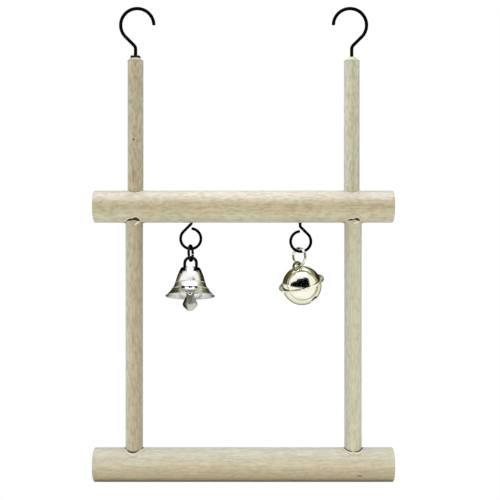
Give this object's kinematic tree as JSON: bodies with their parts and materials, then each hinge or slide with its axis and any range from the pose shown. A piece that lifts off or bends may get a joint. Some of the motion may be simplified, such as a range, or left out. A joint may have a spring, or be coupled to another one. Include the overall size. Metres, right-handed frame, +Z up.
{
  "type": "hanging bird swing",
  "caption": "Wooden ladder-style bird swing: perches on dowel uprights, wire hooks to hang it by, and a flared bell and a round jingle bell on screw eyes under the upper perch.",
  "frame": {"origin": "midway between the two hooks, level with the inside of their crowns where a cage bar bears", "axes": "+X along the perches to the right, +Z up, -Y towards the viewer"},
  "size_m": [0.1406, 0.0294, 0.2235],
  "materials": {
    "wood": "bare sanded pale hardwood",
    "dark_steel": "dark nickel-plated steel wire",
    "nickel": "polished nickel plate",
    "brass": "polished pale gold plate",
    "steel": "plain steel ball"
  },
  "bodies": {
    "frame": {"upper_perch": "wood", "lower_perch": "wood", "upper_upright_left": "wood", "upper_upright_right": "wood", "lower_upright_left": "wood", "lower_upright_right": "wood", "screw_hook_left": "dark_steel", "screw_hook_right": "dark_steel", "screw_eye_left": "dark_steel", "screw_eye_right": "dark_steel"},
    "bell_ring": {"bell_ring": "nickel"},
    "bell": {"bell_shell": "nickel", "bell_hanger": "nickel"},
    "clapper_link": {"clapper_link": "nickel"},
    "clapper_weight": {"clapper_weight": "nickel"},
    "jingle_ring": {"jingle_ring": "brass"},
    "jingle_bell": {"jingle_shank": "brass", "jingle_upper_half": "brass", "jingle_lower_half": "brass"},
    "pellet": {"jingle_pellet": "steel"}
  },
  "joints": [
    {"name": "bell_ring_swing", "type": "hinge", "parent": "frame", "child": "bell_ring", "pos_m": [-0.0249, 0, -0.11234], "axis": [1, 0, 0], "range_deg": [-50, 70]},
    {"name": "bell_swing", "type": "hinge", "parent": "bell_ring", "child": "bell", "pos_m": [-0.0249, -0.00108, -0.11789], "axis": [0.2079, 0.9602, -0.1866], "range_deg": [-45, 45]},
    {"name": "clapper_link_swing", "type": "hinge", "parent": "bell", "child": "clapper_link", "pos_m": [-0.0249, -0.00239, -0.12464], "axis": [1, 0, 0], "range_deg": [-27, 27]},
    {"name": "clapper_swing", "type": "hinge", "parent": "clapper_link", "child": "clapper_weight", "pos_m": [-0.0249, -0.00401, -0.13298], "axis": [0, 0.9816, -0.1908], "range_deg": [-30, 30]},
    {"name": "jingle_ring_swing", "type": "hinge", "parent": "frame", "child": "jingle_ring", "pos_m": [0.0269, 0, -0.11364], "axis": [1, 0, 0], "range_deg": [-58, 38]},
    {"name": "jingle_swing", "type": "hinge", "parent": "jingle_ring", "child": "jingle_bell", "pos_m": [0.02553, 0.00107, -0.12], "axis": [0.6337, -0.729, -0.2588], "range_deg": [-45, 35]},
    {"name": "pellet_roll", "type": "hinge", "parent": "jingle_bell", "child": "pellet", "pos_m": [0.02763, 0.00348, -0.12974], "axis": [0.7638, 0.5367, 0.3586], "range_deg": [-40, 40]}
  ]
}
